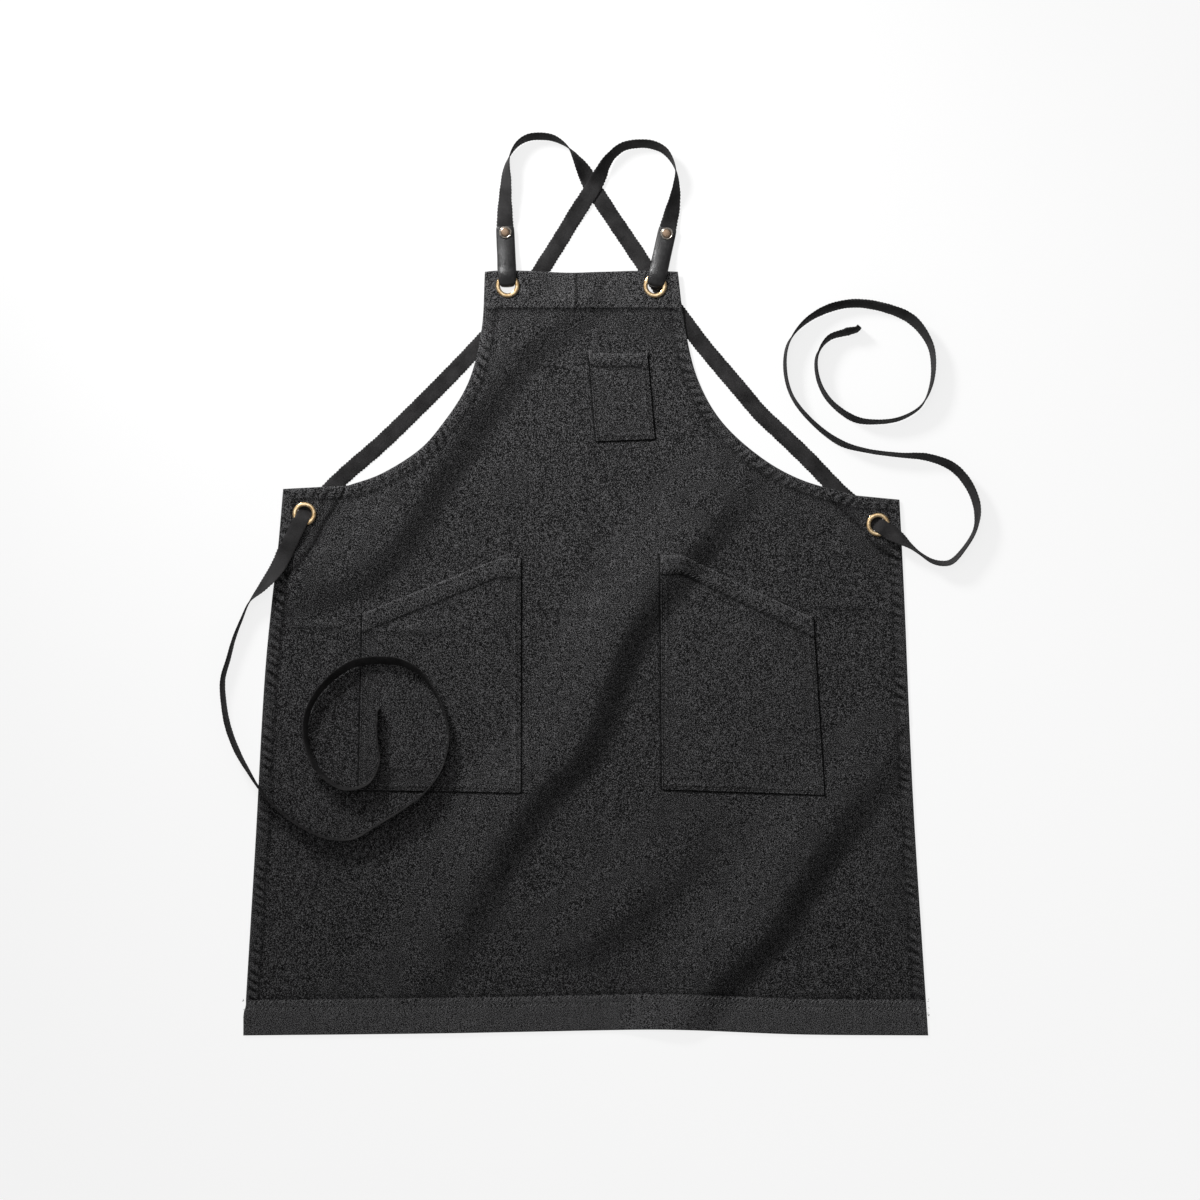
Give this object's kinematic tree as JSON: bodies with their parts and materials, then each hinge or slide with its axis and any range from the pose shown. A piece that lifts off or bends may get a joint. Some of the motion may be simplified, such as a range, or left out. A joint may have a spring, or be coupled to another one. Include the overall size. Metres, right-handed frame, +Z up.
{
  "type": "cross back apron",
  "caption": "Denim work apron laid flat, with webbing straps that cross at the back, long waist ties, slanted hand pockets and a small bib pocket.",
  "frame": {"origin": "on the floor under the middle of the box of all but the two loose waist ties", "axes": "+Z up from the floor the apron lies on face up, +Y from the bottom hem to the bib, +X to the right of someone who looks at its face"},
  "size_m": [0.8509, 1.01, 0.0214],
  "materials": {
    "denim": "heathered charcoal denim, matt, with tonal stitching",
    "webbing": "black cotton webbing with bumpy selvedges",
    "leather": "smooth black leather with a soft gloss",
    "brass": "polished rolled brass",
    "nickel": "antique nickel, brushed on the cap"
  },
  "bodies": {
    "root": {"apron_body": "denim", "bib_pocket": "denim", "hand_pocket_left": "denim", "hand_pocket_right": "denim", "bib_grommet_left": "brass", "bib_grommet_right": "brass", "waist_grommet_left": "brass", "waist_grommet_right": "brass", "leather_tab_left": "leather", "leather_tab_right": "leather", "snap_left": "nickel", "snap_right": "nickel", "shoulder_strap_left": "webbing", "shoulder_strap_right": "webbing", "waist_tie_left": "webbing", "waist_tie_right": "webbing"}
  },
  "joints": []
}
